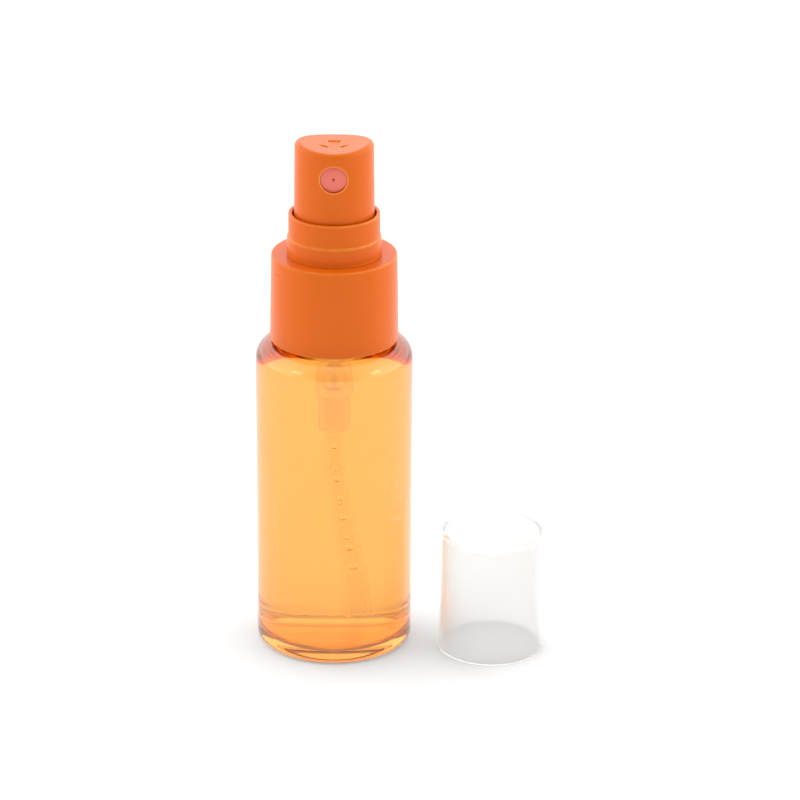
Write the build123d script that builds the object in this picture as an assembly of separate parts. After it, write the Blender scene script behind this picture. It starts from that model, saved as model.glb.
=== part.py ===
from build123d import *
import math
import os

# Pocket lens cleaning spray: a filled bottle with a fine mist pump, its screw collar
# and an overcap that stands beside the bottle. Millimetres. The origin is the middle of the
# bottle's foot, +Z is up and the nozzle points towards -Y.

# ---- driving dimensions ---------------------------------------------------------------

# bottle
BOTTLE_R = 15.0
WALL = 0.9
FLOOR = 2.4
HEEL_R = 1.6
INNER_HEEL_R = 2.0
SHOULDER_TOP = 61.85
SHOULDER_R = 3.5
FOOT_RING_R = 11.4
PUSH_UP = 0.9
FLOOR_CROWN = 0.6
LIQUID_LEVEL = 66.0

# neck with its 20 mm thread
NECK_R = 9.2
NECK_BORE_R = 7.6
NECK_TOP = 76.7
THREAD_R = 10.1
THREAD_PITCH = 3.175
THREAD_TURNS = 1.5
THREAD_START = 69.6
THREAD_HALF_ROOT = 0.9
THREAD_HALF_CREST = 0.45
THREAD_ROOTED = 0.15

# screw collar
COLLAR_BOTTOM = 62.45
COLLAR_TOP = 79.45
COLLAR_FOOT_R = 12.25
COLLAR_HEAD_R = 11.93
COLLAR_BORE_R = 10.45
COLLAR_ROOF = 1.2
COLLAR_EYE_R = 7.3
COLLAR_EDGE = 0.35
COLLAR_THREAD_R = 9.5
COLLAR_THREAD_DROP = 1.4
COLLAR_THREAD_HALF_ROOT = 0.55
COLLAR_THREAD_HALF_CREST = 0.3

# pump housing, from its rim down to the dip tube socket
RIM_R = 7.2
RIM_TOP = 79.5
FLANGE_R = 8.9
FLANGE_TOP = 78.2
FLANGE_BOTTOM = 77.45
CUP_R = 6.9
CUP_BORE_R = 5.9
CUP_FLOOR = 74.6
CHAMBER_R = 3.6
CHAMBER_BORE_R = 2.8
CHAMBER_FLOOR = 56.8
CHAMBER_BOTTOM = 56.0
VALVE_R = 2.6
BALL_ROOM_R = 1.9
BALL_LIP_R = 1.05
SEAT_HOLE_R = 0.8
SEAT_BOTTOM = 53.1
SOCKET_R = 2.2
SOCKET_TOP = 51.3
SOCKET_BOTTOM = 45.0
VENT_R = 0.3
VENT_HEIGHT = 71.7
SNAP_HEIGHT = 76.5
SNAP_GROOVE = 0.2

# dip tube: it leaves the socket straight, leans back and ends near the heel
TUBE_R = 1.3
TUBE_BORE_R = 0.8
TUBE_KNEE = (0.0, 38.0)
TUBE_ANKLE = (9.4, 12.0)
TUBE_TIP = (10.3, 2.75)
TUBE_KNEE_R = 37.0
TUBE_ANKLE_R = 33.0
TUBE_HEADING = 77.8

# sleeve that holds the pump together and guides the actuator
SLEEVE_TOP = 87.55
SLEEVE_STEP = 83.0
SLEEVE_FOOT_R = 8.93
SLEEVE_HEAD_R = 8.67
SLEEVE_BORE_R = 7.95
SLEEVE_WEB_TOP = 80.4
SKIRT_R = 5.88
SKIRT_BORE_R = 5.1
SKIRT_BOTTOM = 75.4
GUIDE_R = 3.3
GUIDE_TOP = 82.0

# stem, piston rod, piston
STEM_R = 2.3
STEM_BOTTOM = 74.4
STEM_TOP = 93.5
STEM_BORE_R = 0.8
ROD_R = 0.95
ROD_TOP = 82.0
ROD_FLANGE_R = 2.3
ROD_FLANGE_TOP = 69.2
ROD_FLANGE_BOTTOM = 68.2
ROD_TIP = 64.0
ROD_TIP_R = 1.3
PISTON_TOP = 77.2
PISTON_LIP_TOP = 74.5
PISTON_BOTTOM = 69.4
PISTON_TUBE_R = 1.65
PISTON_BORE_R = 1.2
PISTON_BODY_R = 2.3
PISTON_LIP_R = 2.78

# return spring and check ball
WIRE_R = 0.25
SPRING_R = 2.05
SPRING_TURNS = 9
BALL_R = 1.2
BALL_HEIGHT = 54.03

# actuator and nozzle
ACTUATOR_BOTTOM = 86.2
ACTUATOR_FOOT_R = 7.62
ACTUATOR_HEAD_R = 7.42
ACTUATOR_WALL = 1.0
ACTUATOR_CEILING = 98.9
DISH_HEIGHT = 100.9
DISH_R = 30.0
DISH_TILT = 2.25
ACTUATOR_EDGE = 0.9
HUB_R = 3.5
HUB_BOTTOM = 88.0
NOZZLE_HEIGHT = 96.25
NOZZLE_R = 2.55
NOZZLE_FACE = 6.95
NOZZLE_LENGTH = 2.95
NOZZLE_DOME = 0.2
NOZZLE_SEAT = 3.4
NOZZLE_WALL = 0.7
POST_R = 1.45
ORIFICE_R = 0.18
ARROW_DEPTH = 0.2

# overcap
CAP_X = 30.6
CAP_Y = -4.0
CAP_HEIGHT = 24.1
CAP_HEAD_R = 9.9
CAP_WAIST_R = 10.08
CAP_WAIST = 10.0
CAP_FOOT_R = 10.65
CAP_WALL = 0.8
CAP_RIB_R = 9.0
CAP_RIB_BOTTOM = 1.2
CAP_RIB_TOP = 6.0
CAP_RIBS = 6

# clearances
FIT = 0.01
RUNNING = 0.05


# ---- helpers ---------------------------------------------------------------------------

def turned(outline):
    """Solid of revolution about Z from a closed (radius, height) outline."""
    line = Polyline(*[(radius, 0, height) for radius, height in outline], close=True)
    return revolve(make_face(line), Axis.Z)


def tube(outer, inner, bottom, top):
    """Plain ring about Z."""
    return turned([(inner, bottom), (outer, bottom), (outer, top), (inner, top)])


def rings(shape, radius, height):
    """The round edges of a shape about Z with this radius, at this height."""
    return [
        edge for edge in shape.edges()
        if edge.geom_type == GeomType.CIRCLE
        and abs(edge.radius - radius) < 0.001
        and abs(edge.arc_center.Z - height) < 0.001
        and abs(edge.arc_center.X) < 0.001
    ]


def soften(shape, radius, height, size):
    """Round the edge that has this radius and height."""
    return fillet(rings(shape, radius, height), size)


def helical_ridge(root_r, crest_r, half_root, half_crest, start):
    """Trapezoid ridge of the neck's pitch; its root is sunk into the wall that it stands on."""
    sunk = THREAD_ROOTED if crest_r < root_r else -THREAD_ROOTED
    section = make_face(Polyline(
        (root_r + sunk, 0, start - half_root),
        (crest_r, 0, start - half_crest),
        (crest_r, 0, start + half_crest),
        (root_r + sunk, 0, start + half_root),
        close=True,
    ))
    path = Helix(THREAD_PITCH, THREAD_PITCH * THREAD_TURNS, root_r, center=(0, 0, start))
    return sweep(section, path=path, is_frenet=True)


def along_nozzle(radius, front, back, height=NOZZLE_HEIGHT):
    """Cylinder that points at the nozzle, from y = -front to y = -back."""
    plane = Plane(origin=(0, -back, height), x_dir=(1, 0, 0), z_dir=(0, -1, 0))
    return plane * Cylinder(radius, front - back, align=(Align.CENTER, Align.CENTER, Align.MIN))


def dish_cylinder(radius):
    """Cylinder that hollows the actuator's top for a finger, lying front to back."""
    tilt = math.radians(DISH_TILT)
    axis = Plane(
        origin=(0, 0, DISH_HEIGHT + DISH_R), x_dir=(1, 0, 0), z_dir=(0, -math.cos(tilt), math.sin(tilt))
    )
    return axis * Cylinder(radius, 4 * BOTTLE_R)


# ---- bottle and what is in it ---------------------------------------------------------

def cavity():
    """Room inside the bottle, up to and through the neck."""
    inner_r = BOTTLE_R - WALL
    ceiling = SHOULDER_TOP - WALL
    room = turned([
        (0, FLOOR), (inner_r, FLOOR), (inner_r, ceiling),
        (NECK_BORE_R, ceiling), (NECK_BORE_R, NECK_TOP + 1), (0, NECK_TOP + 1),
    ])
    room = soften(room, inner_r, FLOOR, INNER_HEEL_R)
    room = soften(room, inner_r, ceiling, SHOULDER_R - WALL)
    crown_r = (FOOT_RING_R ** 2 + FLOOR_CROWN ** 2) / (2 * FLOOR_CROWN)
    return room - Pos(0, 0, FLOOR + FLOOR_CROWN - crown_r) * Sphere(crown_r)


def bottle():
    body = turned([
        (0, 0), (BOTTLE_R, 0), (BOTTLE_R, SHOULDER_TOP),
        (NECK_R, SHOULDER_TOP), (NECK_R, NECK_TOP), (0, NECK_TOP),
    ])
    body = soften(body, BOTTLE_R, 0, HEEL_R)
    body = soften(body, BOTTLE_R, SHOULDER_TOP, SHOULDER_R)
    body = soften(body, NECK_R, SHOULDER_TOP, 0.5)
    body = soften(body, NECK_R, NECK_TOP, 0.3)
    push_up_r = (FOOT_RING_R ** 2 + PUSH_UP ** 2) / (2 * PUSH_UP)
    body -= Pos(0, 0, PUSH_UP - push_up_r) * Sphere(push_up_r)
    body += helical_ridge(NECK_R, THREAD_R, THREAD_HALF_ROOT, THREAD_HALF_CREST, THREAD_START)
    return body - cavity()


def cleaning_liquid():
    level = Pos(0, 0, LIQUID_LEVEL) * Cylinder(
        BOTTLE_R + 1, LIQUID_LEVEL, align=(Align.CENTER, Align.CENTER, Align.MAX)
    )
    pump = turned(housing_outline() + [(0, SOCKET_BOTTOM), (0, RIM_TOP)])
    return cavity() & level - pump - dip_tube()


# ---- collar ---------------------------------------------------------------------------

def screw_collar():
    roof = COLLAR_TOP - COLLAR_ROOF
    collar = turned([
        (COLLAR_BORE_R, COLLAR_BOTTOM), (COLLAR_FOOT_R, COLLAR_BOTTOM), (COLLAR_HEAD_R, COLLAR_TOP),
        (COLLAR_EYE_R, COLLAR_TOP), (COLLAR_EYE_R, roof), (COLLAR_BORE_R, roof),
    ])
    collar = soften(collar, COLLAR_HEAD_R, COLLAR_TOP, COLLAR_EDGE)
    collar = soften(collar, COLLAR_FOOT_R, COLLAR_BOTTOM, 0.25)
    collar = soften(collar, COLLAR_BORE_R, COLLAR_BOTTOM, 0.3)
    collar += helical_ridge(
        COLLAR_BORE_R, COLLAR_THREAD_R, COLLAR_THREAD_HALF_ROOT, COLLAR_THREAD_HALF_CREST,
        THREAD_START - COLLAR_THREAD_DROP,
    )
    return collar


# ---- fixed pieces of the pump -----------------------------------------------------------

def housing_outline():
    """Outside of the housing, from its rim down to the mouth of the dip tube socket."""
    return [
        (RIM_R, RIM_TOP), (RIM_R, FLANGE_TOP), (FLANGE_R, FLANGE_TOP), (FLANGE_R, FLANGE_BOTTOM),
        (CUP_R, FLANGE_BOTTOM), (CUP_R, CUP_FLOOR - 0.6), (CHAMBER_R, CUP_FLOOR - 2),
        (CHAMBER_R, CHAMBER_BOTTOM + 0.4), (CHAMBER_R - 0.4, CHAMBER_BOTTOM), (VALVE_R, CHAMBER_BOTTOM),
        (VALVE_R, SOCKET_TOP + 1.3), (SOCKET_R, SOCKET_TOP + 0.5), (SOCKET_R, SOCKET_BOTTOM),
    ]


def pump_housing():
    seat_top = SEAT_BOTTOM + BALL_ROOM_R - SEAT_HOLE_R
    lip = CHAMBER_FLOOR - 0.45
    bore = [
        (TUBE_R + FIT, SOCKET_BOTTOM), (TUBE_R + FIT, SOCKET_TOP), (SEAT_HOLE_R, SOCKET_TOP),
        (SEAT_HOLE_R, SEAT_BOTTOM), (BALL_ROOM_R, seat_top), (BALL_ROOM_R, lip - BALL_ROOM_R + BALL_LIP_R),
        (BALL_LIP_R, lip), (BALL_LIP_R, CHAMBER_FLOOR), (CHAMBER_BORE_R, CHAMBER_FLOOR),
        (CHAMBER_BORE_R, CUP_FLOOR), (CUP_BORE_R, CUP_FLOOR), (CUP_BORE_R, RIM_TOP),
    ]
    housing = turned(housing_outline() + bore)
    housing -= tube(
        CUP_BORE_R + SNAP_GROOVE, CUP_BORE_R - 1,
        SNAP_HEIGHT - 2 * SNAP_GROOVE, SNAP_HEIGHT + 2 * SNAP_GROOVE,
    )
    vent = Pos(0, 0, VENT_HEIGHT) * Rot(Y=90) * Cylinder(
        VENT_R, 2 * CHAMBER_R, align=(Align.CENTER, Align.CENTER, Align.MIN)
    )
    return housing - vent


def neck_gasket():
    gasket = tube(FLANGE_R, CUP_R + FIT, NECK_TOP, FLANGE_BOTTOM)
    return soften(gasket, FLANGE_R, FLANGE_BOTTOM, 0.15)


def dip_tube_path():
    """Route of the tube: a flat bend, turned about Z towards the heel behind."""
    top = (0.0, SOCKET_TOP)
    heading = Plane.XZ.rotated((0, 0, TUBE_HEADING))
    bends = [TUBE_KNEE_R, TUBE_ANKLE_R]
    return heading * FilletPolyline(top, TUBE_KNEE, TUBE_ANKLE, TUBE_TIP, radius=bends)


def dip_tube():
    path = dip_tube_path()
    start = Plane(origin=(0, 0, SOCKET_TOP), z_dir=(0, 0, -1))
    return sweep(start * (Circle(TUBE_R) - Circle(TUBE_BORE_R)), path=path)


def pump_sleeve():
    sleeve = turned([
        (STEM_R + RUNNING, RIM_TOP), (STEM_R + RUNNING, GUIDE_TOP), (GUIDE_R, GUIDE_TOP),
        (GUIDE_R, SLEEVE_WEB_TOP), (SLEEVE_BORE_R, SLEEVE_WEB_TOP), (SLEEVE_BORE_R, SLEEVE_TOP),
        (SLEEVE_HEAD_R, SLEEVE_TOP), (SLEEVE_HEAD_R, SLEEVE_STEP), (SLEEVE_FOOT_R, SLEEVE_STEP),
        (SLEEVE_FOOT_R, RIM_TOP), (SKIRT_R, RIM_TOP), (SKIRT_R, SNAP_HEIGHT + SNAP_GROOVE),
        (SKIRT_R + SNAP_GROOVE - RUNNING, SNAP_HEIGHT), (SKIRT_R, SNAP_HEIGHT - SNAP_GROOVE),
        (SKIRT_R, SKIRT_BOTTOM), (SKIRT_BORE_R, SKIRT_BOTTOM), (SKIRT_BORE_R, RIM_TOP),
    ])
    sleeve = soften(sleeve, SLEEVE_HEAD_R, SLEEVE_TOP, 0.25)
    sleeve = soften(sleeve, SLEEVE_BORE_R, SLEEVE_TOP, 0.2)
    sleeve = soften(sleeve, SLEEVE_FOOT_R, SLEEVE_STEP, 0.2)
    return sleeve


def stem_seal():
    seal = tube(CUP_BORE_R - RUNNING, STEM_R + 0.08, CUP_FLOOR, SKIRT_BOTTOM)
    return soften(seal, STEM_R + 0.08, SKIRT_BOTTOM, 0.2)


def return_spring():
    """Compression spring with ground ends, between the chamber's floor and the rod's flange."""
    length = ROD_FLANGE_BOTTOM - CHAMBER_FLOOR
    path = Helix(length / SPRING_TURNS, length, SPRING_R, center=(0, 0, CHAMBER_FLOOR))
    start = Plane(origin=path @ 0, z_dir=path % 0)
    coil = sweep(start * Circle(WIRE_R), path=path, is_frenet=True)
    ground = Pos(0, 0, CHAMBER_FLOOR + FIT) * Cylinder(
        CHAMBER_BORE_R, length - 2 * FIT, align=(Align.CENTER, Align.CENTER, Align.MIN)
    )
    return coil & ground


def check_ball():
    return Pos(0, 0, BALL_HEIGHT) * Sphere(BALL_R)


# ---- pieces that stroke with the actuator ---------------------------------------------

def piston():
    shoulder = PISTON_LIP_TOP - 0.65
    seat = PISTON_BOTTOM + 0.6
    bowl = PISTON_LIP_R - 0.33
    return turned([
        (PISTON_BORE_R, seat + 0.6), (1.8, seat), (bowl, PISTON_BOTTOM), (PISTON_LIP_R, PISTON_BOTTOM),
        (PISTON_LIP_R, seat), (PISTON_BODY_R, seat + 0.6), (PISTON_BODY_R, shoulder - 0.85),
        (PISTON_LIP_R, PISTON_LIP_TOP - 0.6), (PISTON_LIP_R, PISTON_LIP_TOP), (bowl, PISTON_LIP_TOP),
        (bowl, shoulder), (PISTON_TUBE_R, shoulder), (PISTON_TUBE_R, PISTON_TOP), (PISTON_BORE_R, PISTON_TOP),
    ])


def piston_rod():
    """Rod with a valve cone that closes the piston from below, fluted for the liquid."""
    cone = 69.93
    rod = turned([
        (0, ROD_TIP), (ROD_TIP_R - 0.4, ROD_TIP), (ROD_TIP_R, ROD_TIP + 0.4), (ROD_TIP_R, ROD_FLANGE_BOTTOM),
        (ROD_FLANGE_R, ROD_FLANGE_BOTTOM), (ROD_FLANGE_R, ROD_FLANGE_TOP - 0.15),
        (ROD_FLANGE_R - 0.15, ROD_FLANGE_TOP),
        (1.8, ROD_FLANGE_TOP), (1.8, cone), (ROD_R, cone + 1.8 - ROD_R), (ROD_R, ROD_TOP), (0, ROD_TOP),
    ])
    flute = Pos(ROD_R, 0, cone + 1.2) * Box(0.6, 0.5, ROD_TOP, align=(Align.CENTER, Align.CENTER, Align.MIN))
    for turn in range(3):
        rod -= Rot(Z=120 * turn) * flute
    return rod


def stem():
    rod_room = ROD_R + RUNNING
    piston_room = PISTON_TUBE_R + 0.06
    piston_end = PISTON_TOP + 0.6
    pipe = turned([
        (piston_room, STEM_BOTTOM), (STEM_R, STEM_BOTTOM), (STEM_R, STEM_TOP), (STEM_BORE_R, STEM_TOP),
        (STEM_BORE_R, ROD_TOP + 0.02), (rod_room, ROD_TOP + 0.02),
        (rod_room, piston_end), (piston_room, piston_end),
    ])
    return soften(pipe, STEM_R, STEM_TOP, 0.3)


def arrow():
    """Flat outline of an arrow that points at the nozzle, seen from above."""
    shaft, head = 1.2, 3.1
    tail, neck, barb, tip = 2.6, -1.1, -0.6, -5.0
    return make_face(Polyline(
        (-shaft, tail), (shaft, tail), (shaft, neck), (head, barb), (0, tip), (-head, barb), (-shaft, neck),
        close=True,
    ))


def actuator():
    top = DISH_HEIGHT + 2
    shell = turned([
        (0, ACTUATOR_BOTTOM), (ACTUATOR_FOOT_R, ACTUATOR_BOTTOM), (ACTUATOR_HEAD_R, top), (0, top),
    ])
    room = turned([
        (0, ACTUATOR_BOTTOM), (ACTUATOR_FOOT_R - ACTUATOR_WALL, ACTUATOR_BOTTOM),
        (ACTUATOR_HEAD_R - ACTUATOR_WALL, ACTUATOR_CEILING), (0, ACTUATOR_CEILING),
    ])
    room = soften(room, ACTUATOR_HEAD_R - ACTUATOR_WALL, ACTUATOR_CEILING, 0.8)
    button = shell - room - dish_cylinder(DISH_R)
    rim = [
        edge for edge in button.edges().filter_by(GeomType.CIRCLE, reverse=True)
        if edge.center().Z > DISH_HEIGHT - 1
    ]
    button = fillet(rim, ACTUATOR_EDGE)
    hub = Pos(0, 0, HUB_BOTTOM) * Cylinder(
        HUB_R, ACTUATOR_CEILING + 0.5 - HUB_BOTTOM, align=(Align.CENTER, Align.CENTER, Align.MIN)
    )
    ribs = Pos(0, 0, HUB_BOTTOM + 2) * Box(
        2 * ACTUATOR_HEAD_R - 1, 0.8, ACTUATOR_CEILING - HUB_BOTTOM - 1.5,
        align=(Align.CENTER, Align.CENTER, Align.MIN),
    )
    button += hub + ribs + (shell & along_nozzle(HUB_R, ACTUATOR_FOOT_R + 1, 0))
    return button - actuator_passages() - engraved_arrow()


def actuator_passages():
    """Stem socket, feed and nozzle seat, with the post that fills the nozzle's cup."""
    lift = (Align.CENTER, Align.CENTER, Align.MIN)
    feed_height = NOZZLE_HEIGHT - (NOZZLE_R + POST_R) / 2
    socket = Pos(0, 0, HUB_BOTTOM - 1) * Cylinder(STEM_R + FIT, STEM_TOP - HUB_BOTTOM + 1, align=lift)
    rise = Pos(0, 0, STEM_TOP) * Cylinder(STEM_BORE_R, feed_height + 0.5 - STEM_TOP, align=lift)
    feed = along_nozzle(0.5, NOZZLE_SEAT + 0.1, 0, feed_height)
    seat = along_nozzle(NOZZLE_R + FIT, ACTUATOR_FOOT_R + 2, NOZZLE_SEAT)
    post = along_nozzle(POST_R, NOZZLE_FACE - NOZZLE_WALL, NOZZLE_SEAT)
    return socket + rise + feed + (seat - post)


def engraved_arrow():
    column = extrude(Pos(0, 0, DISH_HEIGHT - 3) * arrow(), amount=6)
    return column & dish_cylinder(DISH_R + ARROW_DEPTH)


def nozzle_insert():
    """Cup with a fine hole in its domed front, a swirl recess and three feed flutes inside."""
    back = NOZZLE_FACE - NOZZLE_LENGTH
    inside = NOZZLE_FACE - NOZZLE_WALL
    dome_r = (NOZZLE_R ** 2 + NOZZLE_DOME ** 2) / (2 * NOZZLE_DOME)
    plug = along_nozzle(NOZZLE_R, NOZZLE_FACE + NOZZLE_DOME, back)
    plug &= Pos(0, -(NOZZLE_FACE + NOZZLE_DOME - dome_r), NOZZLE_HEIGHT) * Sphere(dome_r)
    plug -= along_nozzle(POST_R + RUNNING, inside, back - 1)
    plug -= along_nozzle(0.8, inside + 0.2, inside - 0.1)
    plug -= along_nozzle(ORIFICE_R, NOZZLE_FACE + 1, inside)
    sink = Plane(origin=(0, -(NOZZLE_FACE + NOZZLE_DOME), NOZZLE_HEIGHT), z_dir=(0, 1, 0))
    plug -= sink * Cone(0.45, ORIFICE_R, 0.25, align=(Align.CENTER, Align.CENTER, Align.MIN))
    axis = Axis((0, 0, NOZZLE_HEIGHT), (0, -1, 0))
    flute = Pos(0, -back, NOZZLE_HEIGHT + POST_R) * Box(
        0.5, inside - back, 0.7, align=(Align.CENTER, Align.MAX, Align.CENTER)
    )
    for turn in range(3):
        plug -= flute.rotate(axis, 60 + 120 * turn)
    return plug


# ---- overcap ------------------------------------------------------------------------------

def cap_form(inset, height):
    """The cap's outside as a solid, moved inwards by the inset: a straight wall and a flared foot."""
    foot = (CAP_FOOT_R - inset, 0, 0)
    waist = (CAP_WAIST_R - inset, 0, CAP_WAIST)
    head = (CAP_HEAD_R - inset, 0, height)
    wall = Line(head, waist)
    flare = TangentArc(waist, foot, tangent=wall % 1)
    rest = Polyline(foot, (0, 0, 0), (0, 0, height), head)
    return revolve(make_face([wall, flare, rest]), Axis.Z)


def overcap():
    ceiling = CAP_HEIGHT - CAP_WALL
    outside = soften(cap_form(0, CAP_HEIGHT), CAP_HEAD_R, CAP_HEIGHT, 0.5)
    inside = soften(cap_form(CAP_WALL, ceiling), CAP_HEAD_R - CAP_WALL, ceiling, 0.4)
    cap = outside - inside
    rib_height = CAP_RIB_TOP - CAP_RIB_BOTTOM
    rib = Pos(CAP_RIB_R, 0, CAP_RIB_BOTTOM) * Box(
        1.0, 0.6, rib_height, align=(Align.MIN, Align.CENTER, Align.MIN)
    )
    lead_in = make_face(Polyline((0, -0.3, 0), (0.9, -0.3, 0), (0.9, -0.3, 1.4), close=True))
    rib += Pos(CAP_RIB_R, 0, CAP_RIB_TOP) * extrude(lead_in, amount=0.6, dir=(0, 1, 0))
    for turn in range(CAP_RIBS):
        cap += Rot(Z=360 / CAP_RIBS * (turn + 0.5)) * rib
    gate = Pos(0, 0, CAP_HEIGHT) * (Cylinder(1.1, 0.4) - Pos(0, 0, -0.15) * Cylinder(0.55, 0.2))
    return Pos(CAP_X, CAP_Y, 0) * (cap - gate)


# ---- write one file for each piece --------------------------------------------------------

PIECES = {
    "bottle": bottle,
    "cleaning_liquid": cleaning_liquid,
    "screw_collar": screw_collar,
    "neck_gasket": neck_gasket,
    "pump_housing": pump_housing,
    "dip_tube": dip_tube,
    "pump_sleeve": pump_sleeve,
    "stem_seal": stem_seal,
    "return_spring": return_spring,
    "check_ball": check_ball,
    "piston": piston,
    "piston_rod": piston_rod,
    "stem": stem,
    "actuator": actuator,
    "nozzle_insert": nozzle_insert,
    "overcap": overcap,
}

os.makedirs("parts", exist_ok=True)
for name, make in PIECES.items():
    solid = make()
    export_step(solid, f"parts/{name}.step")
    print(name, round(solid.volume, 2), "mm3")
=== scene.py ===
import math

import bmesh
import bpy
from bpy.props import FloatProperty, FloatVectorProperty, IntProperty, PointerProperty
from mathutils import Matrix, Vector


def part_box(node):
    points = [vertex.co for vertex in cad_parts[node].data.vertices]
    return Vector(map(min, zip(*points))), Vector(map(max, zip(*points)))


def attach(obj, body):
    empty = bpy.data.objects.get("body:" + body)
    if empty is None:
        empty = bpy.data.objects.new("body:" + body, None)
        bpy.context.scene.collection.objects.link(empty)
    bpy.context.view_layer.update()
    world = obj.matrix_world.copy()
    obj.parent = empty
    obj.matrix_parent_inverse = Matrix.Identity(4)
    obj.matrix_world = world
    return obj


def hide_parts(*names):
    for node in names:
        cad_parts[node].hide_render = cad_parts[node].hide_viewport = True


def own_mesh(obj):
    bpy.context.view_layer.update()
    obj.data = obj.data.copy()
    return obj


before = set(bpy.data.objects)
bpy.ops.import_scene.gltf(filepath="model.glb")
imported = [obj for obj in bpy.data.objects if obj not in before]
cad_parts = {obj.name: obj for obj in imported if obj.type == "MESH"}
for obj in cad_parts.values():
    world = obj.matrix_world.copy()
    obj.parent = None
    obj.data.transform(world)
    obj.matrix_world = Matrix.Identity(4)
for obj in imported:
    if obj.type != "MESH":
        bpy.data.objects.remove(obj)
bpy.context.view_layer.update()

bl_info = {
    "name": "Lens cleaning spray",
    "version": (1, 0, 0),
    "blender": (4, 5, 0),
    "location": "3D View > Sidebar > Spray",
    "description": "Builds a pocket lens cleaning spray: bottle, liquid, mist pump and overcap",
    "category": "Object",
}

# ---- the frame ---------------------------------------------------------------------------

MM = 0.001
AXIS = (0.0, 0.0)


def radius_of(node):
    """Largest radius of a turned node about its own upright axis."""
    low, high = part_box(node)
    return (high.x - low.x) / 2


def foot_of(node):
    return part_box(node)[0].z


def top_of(node):
    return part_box(node)[1].z


def middle_of(node):
    """Where a node's upright axis stands on the floor."""
    low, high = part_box(node)
    return ((low.x + high.x) / 2, (low.y + high.y) / 2)


# ---- sizes and colours that a user would change ---------------------------------------------


def size(name, description, default):
    return FloatProperty(
        name=name, description=description, default=default, min=0, subtype="DISTANCE", unit="LENGTH"
    )


def number_of(name, description, default, most):
    return IntProperty(name=name, description=description, default=default, min=1, max=most)


def colour(name, description, default):
    return FloatVectorProperty(
        name=name, description=description, default=default, size=3, min=0, max=1, subtype="COLOR"
    )


class BottleSizes(bpy.types.PropertyGroup):
    wall: size("Wall", "Thickness of the bottle's wall", 0.9 * MM)
    floor: size("Floor", "Thickness of the bottle's floor at the heel", 2.4 * MM)
    floor_crown: size("Floor crown", "How far the middle of the floor rises inside", 0.6 * MM)
    heel: size("Heel", "Rounding of the outer heel", 1.6 * MM)
    inner_heel: size("Inner heel", "Rounding where the inner wall meets the floor", 2.0 * MM)
    foot_ring: size("Foot ring", "Inner radius of the ring that the bottle stands on", 11.4 * MM)
    push_up: size("Push-up", "How far the middle of the foot is pushed up", 0.9 * MM)
    shoulder: size("Shoulder", "Rounding of the shoulder", 3.5 * MM)
    shoulder_top: size("Shoulder top", "Height of the flat ring round the neck", 61.85 * MM)
    neck: size("Neck", "Outer radius of the neck", 9.2 * MM)
    neck_root: size("Neck root", "Rounding where the neck meets the shoulder", 0.5 * MM)
    neck_bore: size("Neck bore", "Inner radius of the neck", 7.6 * MM)
    thread: size("Thread", "Outer radius of the neck's thread", 10.1 * MM)
    thread_start: size("Thread start", "Height where the thread starts", 69.6 * MM)
    thread_root: size("Thread root", "Half the thread's thickness where it meets the neck", 0.9 * MM)
    thread_crest: size("Thread crest", "Half the thread's thickness at its crest", 0.45 * MM)
    pitch: size("Pitch", "Rise of the thread in one turn", 3.175 * MM)
    turns: FloatProperty(name="Turns", description="Turns of the thread", default=1.5, min=0)


class LiquidSizes(bpy.types.PropertyGroup):
    level: size("Level", "Height of the liquid's surface, up in the neck", 66.0 * MM)
    meniscus: size("Meniscus", "How far the liquid climbs the wall", 0.7 * MM)
    chamber: size("Chamber", "Radius of the liquid that fills the primed pump, up to its seal", 3.2 * MM)
    soak: size("Soak", "How far the liquid reaches into the wall, which leaves no air there", 0.04 * MM)


class CollarSizes(bpy.types.PropertyGroup):
    bore: size("Bore", "Inner radius of the collar's wall", 10.45 * MM)
    draft: size("Draft", "How much smaller the top's radius is than the foot's", 0.32 * MM)
    roof: size("Roof", "Thickness of the collar's top", 1.2 * MM)
    eye: size("Eye", "Radius of the hole that the pump stands in", 7.3 * MM)
    edge: size("Edge", "Rounding of the top's rim", 0.35 * MM)
    thread: size("Thread", "Inner radius of the collar's thread", 9.5 * MM)
    thread_root: size("Thread root", "Half the thread's thickness at the wall", 0.55 * MM)
    thread_crest: size("Thread crest", "Half the thread's thickness at its crest", 0.3 * MM)
    thread_drop: size("Thread drop", "How far below the neck's thread the collar's thread starts", 1.4 * MM)


class SleeveSizes(bpy.types.PropertyGroup):
    head: size("Head", "Radius of the upper step", 8.67 * MM)
    step: size("Step", "Height of the ledge between the two steps", 83.0 * MM)
    bore: size("Bore", "Radius of the well that the actuator slides in", 7.95 * MM)
    ledge_root: size("Ledge root", "Rounding where the upper step rises from the ledge", 0.12 * MM)
    web_top: size("Web top", "Height of the well's bottom", 80.4 * MM)
    guide: size("Guide", "Outer radius of the ring that guides the stem", 3.3 * MM)
    guide_bore: size("Guide bore", "Inner radius of the ring that guides the stem", 2.35 * MM)
    guide_top: size("Guide top", "Height of the top of the guide", 82.0 * MM)
    skirt: size("Skirt", "Outer radius of the skirt that snaps into the housing", 5.88 * MM)
    skirt_bore: size("Skirt bore", "Inner radius of the skirt", 5.1 * MM)
    snap: size("Snap", "Height of the snap bead above the skirt's foot", 1.1 * MM)
    snap_height: size("Snap height", "How far the snap bead stands out", 0.2 * MM)


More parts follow.
